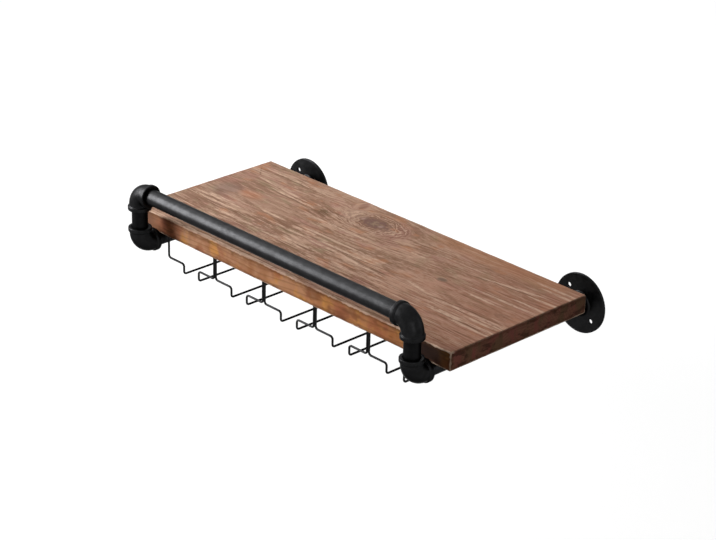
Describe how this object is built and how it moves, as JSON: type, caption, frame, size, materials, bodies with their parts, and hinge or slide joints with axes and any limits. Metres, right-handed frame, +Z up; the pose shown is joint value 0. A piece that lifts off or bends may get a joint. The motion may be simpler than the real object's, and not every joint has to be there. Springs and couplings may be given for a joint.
{
  "type": "wall wine rack",
  "caption": "Plank wall shelf on black pipe brackets, with a pipe guard rail along its front and bent-wire holders below in which stemmed glasses hang by their feet.",
  "frame": {"origin": "on the wall plane, midway between the centres of the two wall flanges", "axes": "+X along the board, +Y into the wall, +Z up"},
  "size_m": [0.6026, 0.3299, 0.1345],
  "materials": {
    "wood": "brushed brown wood with pale limed grain and worn edges",
    "black_iron": "matte black paint over cast texture",
    "black_pipe": "satin black",
    "black_wire": "satin black",
    "black_steel": "blackened"
  },
  "bodies": {
    "root": {"shelf_board": "wood", "left_wall_flange": "black_iron", "left_support_pipe": "black_pipe", "left_lower_elbow": "black_iron", "left_riser_nipple": "black_pipe", "left_upper_elbow": "black_iron", "right_wall_flange": "black_iron", "right_support_pipe": "black_pipe", "right_lower_elbow": "black_iron", "right_riser_nipple": "black_pipe", "right_upper_elbow": "black_iron", "front_rail": "black_pipe", "left_front_pipe_strap": "black_steel", "left_rear_pipe_strap": "black_steel", "right_front_pipe_strap": "black_steel", "right_rear_pipe_strap": "black_steel", "left_front_strap_left_screw": "black_steel", "left_front_strap_right_screw": "black_steel", "left_rear_strap_left_screw": "black_steel", "left_rear_strap_right_screw": "black_steel", "right_front_strap_left_screw": "black_steel", "right_front_strap_right_screw": "black_steel", "right_rear_strap_left_screw": "black_steel", "right_rear_strap_right_screw": "black_steel", "glass_holder_1": "black_wire", "glass_holder_1_left_screw": "black_steel", "glass_holder_1_right_screw": "black_steel", "glass_holder_1_rear_clip": "black_steel", "glass_holder_1_clip_screw": "black_steel", "glass_holder_2": "black_wire", "glass_holder_2_left_screw": "black_steel", "glass_holder_2_right_screw": "black_steel", "glass_holder_2_rear_clip": "black_steel", "glass_holder_2_clip_screw": "black_steel", "glass_holder_3": "black_wire", "glass_holder_3_left_screw": "black_steel", "glass_holder_3_right_screw": "black_steel", "glass_holder_3_rear_clip": "black_steel", "glass_holder_3_clip_screw": "black_steel", "glass_holder_4": "black_wire", "glass_holder_4_left_screw": "black_steel", "glass_holder_4_right_screw": "black_steel", "glass_holder_4_rear_clip": "black_steel", "glass_holder_4_clip_screw": "black_steel", "glass_holder_5": "black_wire", "glass_holder_5_left_screw": "black_steel", "glass_holder_5_right_screw": "black_steel", "glass_holder_5_rear_clip": "black_steel", "glass_holder_5_clip_screw": "black_steel"}
  },
  "joints": []
}
